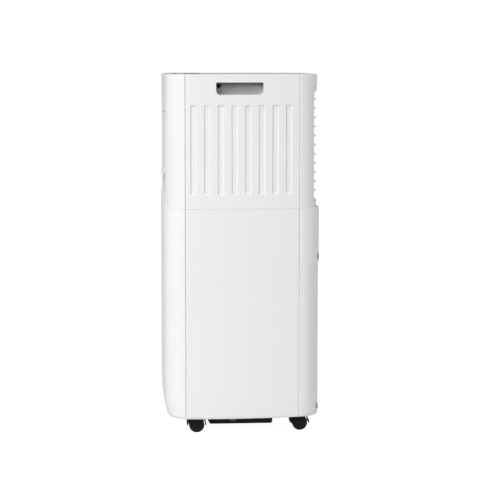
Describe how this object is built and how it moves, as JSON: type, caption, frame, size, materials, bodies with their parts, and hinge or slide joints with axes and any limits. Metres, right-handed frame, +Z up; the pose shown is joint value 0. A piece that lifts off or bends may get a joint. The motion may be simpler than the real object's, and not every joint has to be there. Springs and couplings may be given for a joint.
{
  "type": "dehumidifier",
  "caption": "Slim white tower dehumidifier on casters with a front outlet flap, rear intake grille, side grips and a flat grey top.",
  "frame": {"origin": "on the floor under the middle of the bounding box", "axes": "+Z up, -Y towards the front with the air outlet, +X to the right-hand side panel seen from behind the front"},
  "size_m": [0.3398, 0.307, 0.7],
  "materials": {
    "white_shell": "smooth satin white moulded plastic",
    "light_grey": "fine-textured light grey plastic",
    "grip_grey": "satin grey plastic",
    "black_plastic": "satin black plastic",
    "dark_gloss": "glossy dark plastic",
    "rubber": "matt dark rubber",
    "inner_plastic": "natural white-grey plastic",
    "filter_mesh": "fine dark filter net",
    "steel": "zinc-plated steel",
    "aluminium": "bright aluminium fins",
    "copper": "drawn copper tube",
    "compressor_black": "black painted steel",
    "board_green": "green circuit board"
  },
  "bodies": {
    "cabinet": {"lower_front_shell": "white_shell", "lower_back_shell": "white_shell", "lower_side_panel_right": "white_shell", "lower_side_panel_left": "white_shell", "upper_front_shell": "white_shell", "upper_back_shell": "white_shell", "upper_side_panel_right": "white_shell", "upper_side_panel_left": "white_shell", "top_cover": "light_grey", "control_panel": "dark_gloss", "display_window": "dark_gloss", "control_board": "board_green", "grip_cup_right": "grip_grey", "grip_cup_left": "grip_grey", "grip_screw_right": "steel", "grip_screw_left": "steel", "outlet_duct": "inner_plastic", "fan_shroud": "inner_plastic", "fan_motor": "steel", "evaporator_coil": "aluminium", "condenser_coil": "aluminium", "drip_tray": "inner_plastic", "upper_drain_spout": "inner_plastic", "lower_drain_spout": "inner_plastic", "compressor": "compressor_black", "suction_pipe": "copper", "discharge_pipe": "copper", "run_capacitor": "aluminium", "condensate_tank": "inner_plastic", "base_pan": "black_plastic", "cord_inlet": "black_plastic"},
    "outlet_flap": {"outlet_flap": "white_shell"},
    "outlet_vane_1": {"outlet_vane_1": "inner_plastic"},
    "outlet_vane_2": {"outlet_vane_2": "inner_plastic"},
    "outlet_vane_3": {"outlet_vane_3": "inner_plastic"},
    "outlet_vane_4": {"outlet_vane_4": "inner_plastic"},
    "outlet_vane_5": {"outlet_vane_5": "inner_plastic"},
    "vane_link": {"vane_link": "inner_plastic"},
    "rear_grille": {"intake_grille": "white_shell", "filter_frame": "inner_plastic", "filter_mesh": "filter_mesh"},
    "impeller": {"fan_impeller": "inner_plastic"},
    "float_arm": {"float_arm": "inner_plastic"},
    "upper_drain_plug": {"upper_drain_plug": "rubber"},
    "lower_drain_plug": {"lower_drain_plug": "rubber"},
    "pan_plug": {"pan_plug": "light_grey"},
    "button_power": {"button_power": "light_grey"},
    "button_mode": {"button_mode": "light_grey"},
    "button_fan": {"button_fan": "light_grey"},
    "button_timer": {"button_timer": "light_grey"},
    "button_down": {"button_down": "light_grey"},
    "button_up": {"button_up": "light_grey"},
    "caster_swivel_front_right": {"caster_housing_front_right": "black_plastic"},
    "caster_wheels_front_right": {"caster_wheels_front_right": "black_plastic"},
    "caster_swivel_front_left": {"caster_housing_front_left": "black_plastic"},
    "caster_wheels_front_left": {"caster_wheels_front_left": "black_plastic"},
    "caster_swivel_back_right": {"caster_housing_back_right": "black_plastic"},
    "caster_wheels_back_right": {"caster_wheels_back_right": "black_plastic"},
    "caster_swivel_back_left": {"caster_housing_back_left": "black_plastic"},
    "caster_wheels_back_left": {"caster_wheels_back_left": "black_plastic"}
  },
  "joints": [
    {"name": "outlet_flap_hinge", "type": "hinge", "parent": "cabinet", "child": "outlet_flap", "pos_m": [0, -0.1444, 0.619], "axis": [-1, 0, 0], "range_deg": [0, 60]},
    {"name": "outlet_vane_1_turn", "type": "hinge", "parent": "cabinet", "child": "outlet_vane_1", "pos_m": [-0.092, -0.116, 0.565], "axis": [0, 0, 1], "range_deg": [-30, 30]},
    {"name": "outlet_vane_2_turn", "type": "hinge", "parent": "cabinet", "child": "outlet_vane_2", "pos_m": [-0.046, -0.116, 0.565], "axis": [0, 0, 1], "range_deg": [-30, 30]},
    {"name": "outlet_vane_3_turn", "type": "hinge", "parent": "cabinet", "child": "outlet_vane_3", "pos_m": [0, -0.116, 0.565], "axis": [0, 0, 1], "range_deg": [-30, 30]},
    {"name": "outlet_vane_4_turn", "type": "hinge", "parent": "cabinet", "child": "outlet_vane_4", "pos_m": [0.046, -0.116, 0.565], "axis": [0, 0, 1], "range_deg": [-30, 30]},
    {"name": "outlet_vane_5_turn", "type": "hinge", "parent": "cabinet", "child": "outlet_vane_5", "pos_m": [0.092, -0.116, 0.565], "axis": [0, 0, 1], "range_deg": [-30, 30]},
    {"name": "vane_link_slide", "type": "slide", "parent": "cabinet", "child": "vane_link", "axis": [-1, 0, 0], "range_m": [-0.0092, 0.0092]},
    {"name": "rear_grille_pull", "type": "slide", "parent": "cabinet", "child": "rear_grille", "axis": [0, 1, 0], "range_m": [0, 0.08]},
    {"name": "impeller_spin", "type": "hinge", "parent": "cabinet", "child": "impeller", "pos_m": [0, 0.04, 0.556], "axis": [0, 1, 0], "continuous": true},
    {"name": "float_arm_lift", "type": "hinge", "parent": "cabinet", "child": "float_arm", "pos_m": [0.019, 0.03, 0.19], "axis": [0, -1, 0], "range_deg": [0, 18]},
    {"name": "upper_drain_plug_pull", "type": "slide", "parent": "cabinet", "child": "upper_drain_plug", "axis": [0, 1, 0], "range_m": [0, 0.03]},
    {"name": "lower_drain_plug_pull", "type": "slide", "parent": "cabinet", "child": "lower_drain_plug", "axis": [0, 1, 0], "range_m": [0, 0.03]},
    {"name": "pan_plug_pull", "type": "slide", "parent": "cabinet", "child": "pan_plug", "axis": [1, 0, 0], "range_m": [0, 0.02]},
    {"name": "button_power_press", "type": "slide", "parent": "cabinet", "child": "button_power", "axis": [0, 0, -1], "range_m": [0, 0.001], "stiffness_N_per_m": 400, "springref_m": -0.001},
    {"name": "button_mode_press", "type": "slide", "parent": "cabinet", "child": "button_mode", "axis": [0, 0, -1], "range_m": [0, 0.001], "stiffness_N_per_m": 400, "springref_m": -0.001},
    {"name": "button_fan_press", "type": "slide", "parent": "cabinet", "child": "button_fan", "axis": [0, 0, -1], "range_m": [0, 0.001], "stiffness_N_per_m": 400, "springref_m": -0.001},
    {"name": "button_timer_press", "type": "slide", "parent": "cabinet", "child": "button_timer", "axis": [0, 0, -1], "range_m": [0, 0.001], "stiffness_N_per_m": 400, "springref_m": -0.001},
    {"name": "button_down_press", "type": "slide", "parent": "cabinet", "child": "button_down", "axis": [0, 0, -1], "range_m": [0, 0.001], "stiffness_N_per_m": 400, "springref_m": -0.001},
    {"name": "button_up_press", "type": "slide", "parent": "cabinet", "child": "button_up", "axis": [0, 0, -1], "range_m": [0, 0.001], "stiffness_N_per_m": 400, "springref_m": -0.001},
    {"name": "caster_swivel_front_right_turn", "type": "hinge", "parent": "cabinet", "child": "caster_swivel_front_right", "pos_m": [0.1315, -0.1013, 0.03], "axis": [0, 0, 1], "continuous": true},
    {"name": "caster_wheels_front_right_roll", "type": "hinge", "parent": "caster_swivel_front_right", "child": "caster_wheels_front_right", "pos_m": [0.1315, -0.0893, 0.015], "axis": [1, 0, 0], "continuous": true},
    {"name": "caster_swivel_front_left_turn", "type": "hinge", "parent": "cabinet", "child": "caster_swivel_front_left", "pos_m": [-0.1315, -0.1013, 0.03], "axis": [0, 0, 1], "continuous": true},
    {"name": "caster_wheels_front_left_roll", "type": "hinge", "parent": "caster_swivel_front_left", "child": "caster_wheels_front_left", "pos_m": [-0.1315, -0.0893, 0.015], "axis": [1, 0, 0], "continuous": true},
    {"name": "caster_swivel_back_right_turn", "type": "hinge", "parent": "cabinet", "child": "caster_swivel_back_right", "pos_m": [0.1225, 0.1025, 0.03], "axis": [0, 0, 1], "continuous": true},
    {"name": "caster_wheels_back_right_roll", "type": "hinge", "parent": "caster_swivel_back_right", "child": "caster_wheels_back_right", "pos_m": [0.1225, 0.1145, 0.015], "axis": [1, 0, 0], "continuous": true},
    {"name": "caster_swivel_back_left_turn", "type": "hinge", "parent": "cabinet", "child": "caster_swivel_back_left", "pos_m": [-0.1225, 0.1025, 0.03], "axis": [0, 0, 1], "continuous": true},
    {"name": "caster_wheels_back_left_roll", "type": "hinge", "parent": "caster_swivel_back_left", "child": "caster_wheels_back_left", "pos_m": [-0.1225, 0.1145, 0.015], "axis": [1, 0, 0], "continuous": true}
  ],
  "couplings": [
    {"joint": "outlet_vane_1_turn", "follows": "vane_link_slide", "rad_per_m": 56.818},
    {"joint": "outlet_vane_2_turn", "follows": "vane_link_slide", "rad_per_m": 56.818},
    {"joint": "outlet_vane_3_turn", "follows": "vane_link_slide", "rad_per_m": 56.818},
    {"joint": "outlet_vane_4_turn", "follows": "vane_link_slide", "rad_per_m": 56.818},
    {"joint": "outlet_vane_5_turn", "follows": "vane_link_slide", "rad_per_m": 56.818}
  ]
}
